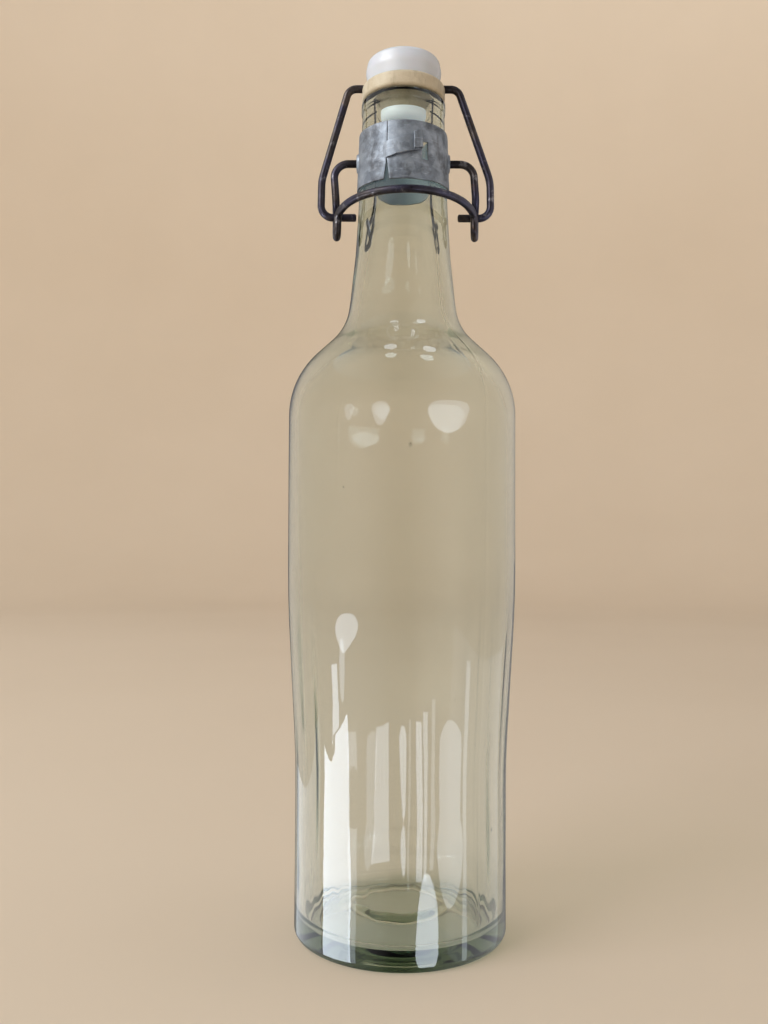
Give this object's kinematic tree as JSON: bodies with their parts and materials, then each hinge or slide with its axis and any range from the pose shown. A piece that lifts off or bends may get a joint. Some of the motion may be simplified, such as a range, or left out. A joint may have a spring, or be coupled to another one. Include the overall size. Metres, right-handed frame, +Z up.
{
  "type": "swing top bottle",
  "caption": "Clear half-litre glass bottle with a porcelain swing top stopper held by a bent-wire lever closure.",
  "frame": {"origin": "centre of the base, on the surface that the bottle stands on", "axes": "+Z up along the bottle's axis; -Y is the front, where the strap is locked and the lever's arch crosses the neck; both hinge lines run along X"},
  "size_m": [0.071, 0.071, 0.2738],
  "materials": {
    "bottle_glass": "clear glass with a pale green tint",
    "collar_zinc": "mottled galvanised sheet",
    "dark_wire": "dark oxidised steel wire",
    "stopper_porcelain": "white glaze",
    "seal_rubber": "aged tan rubber"
  },
  "bodies": {
    "glass_body": {"bottle": "bottle_glass", "neck_collar": "collar_zinc"},
    "lever": {"lever_bail": "dark_wire"},
    "yoke": {"yoke_bail": "dark_wire"},
    "plug": {"stopper": "stopper_porcelain", "seal": "seal_rubber"}
  },
  "joints": [
    {"name": "lever_pivot", "type": "hinge", "parent": "glass_body", "child": "lever", "pos_m": [0, 0, 0.2401], "axis": [-1, 0, 0], "range_deg": [0, 90]},
    {"name": "yoke_pivot", "type": "hinge", "parent": "lever", "child": "yoke", "pos_m": [0, 0.00089, 0.22302], "axis": [-1, 0, 0], "range_deg": [-57, 0]},
    {"name": "stopper_pivot", "type": "hinge", "parent": "yoke", "child": "plug", "pos_m": [0, 0, 0.2644], "axis": [-1, 0, 0], "range_deg": [-34, 0]}
  ],
  "couplings": [
    {"joint": "yoke_pivot", "follows": "lever_pivot", "ratio": -0.63},
    {"joint": "stopper_pivot", "follows": "lever_pivot", "ratio": -0.37}
  ]
}
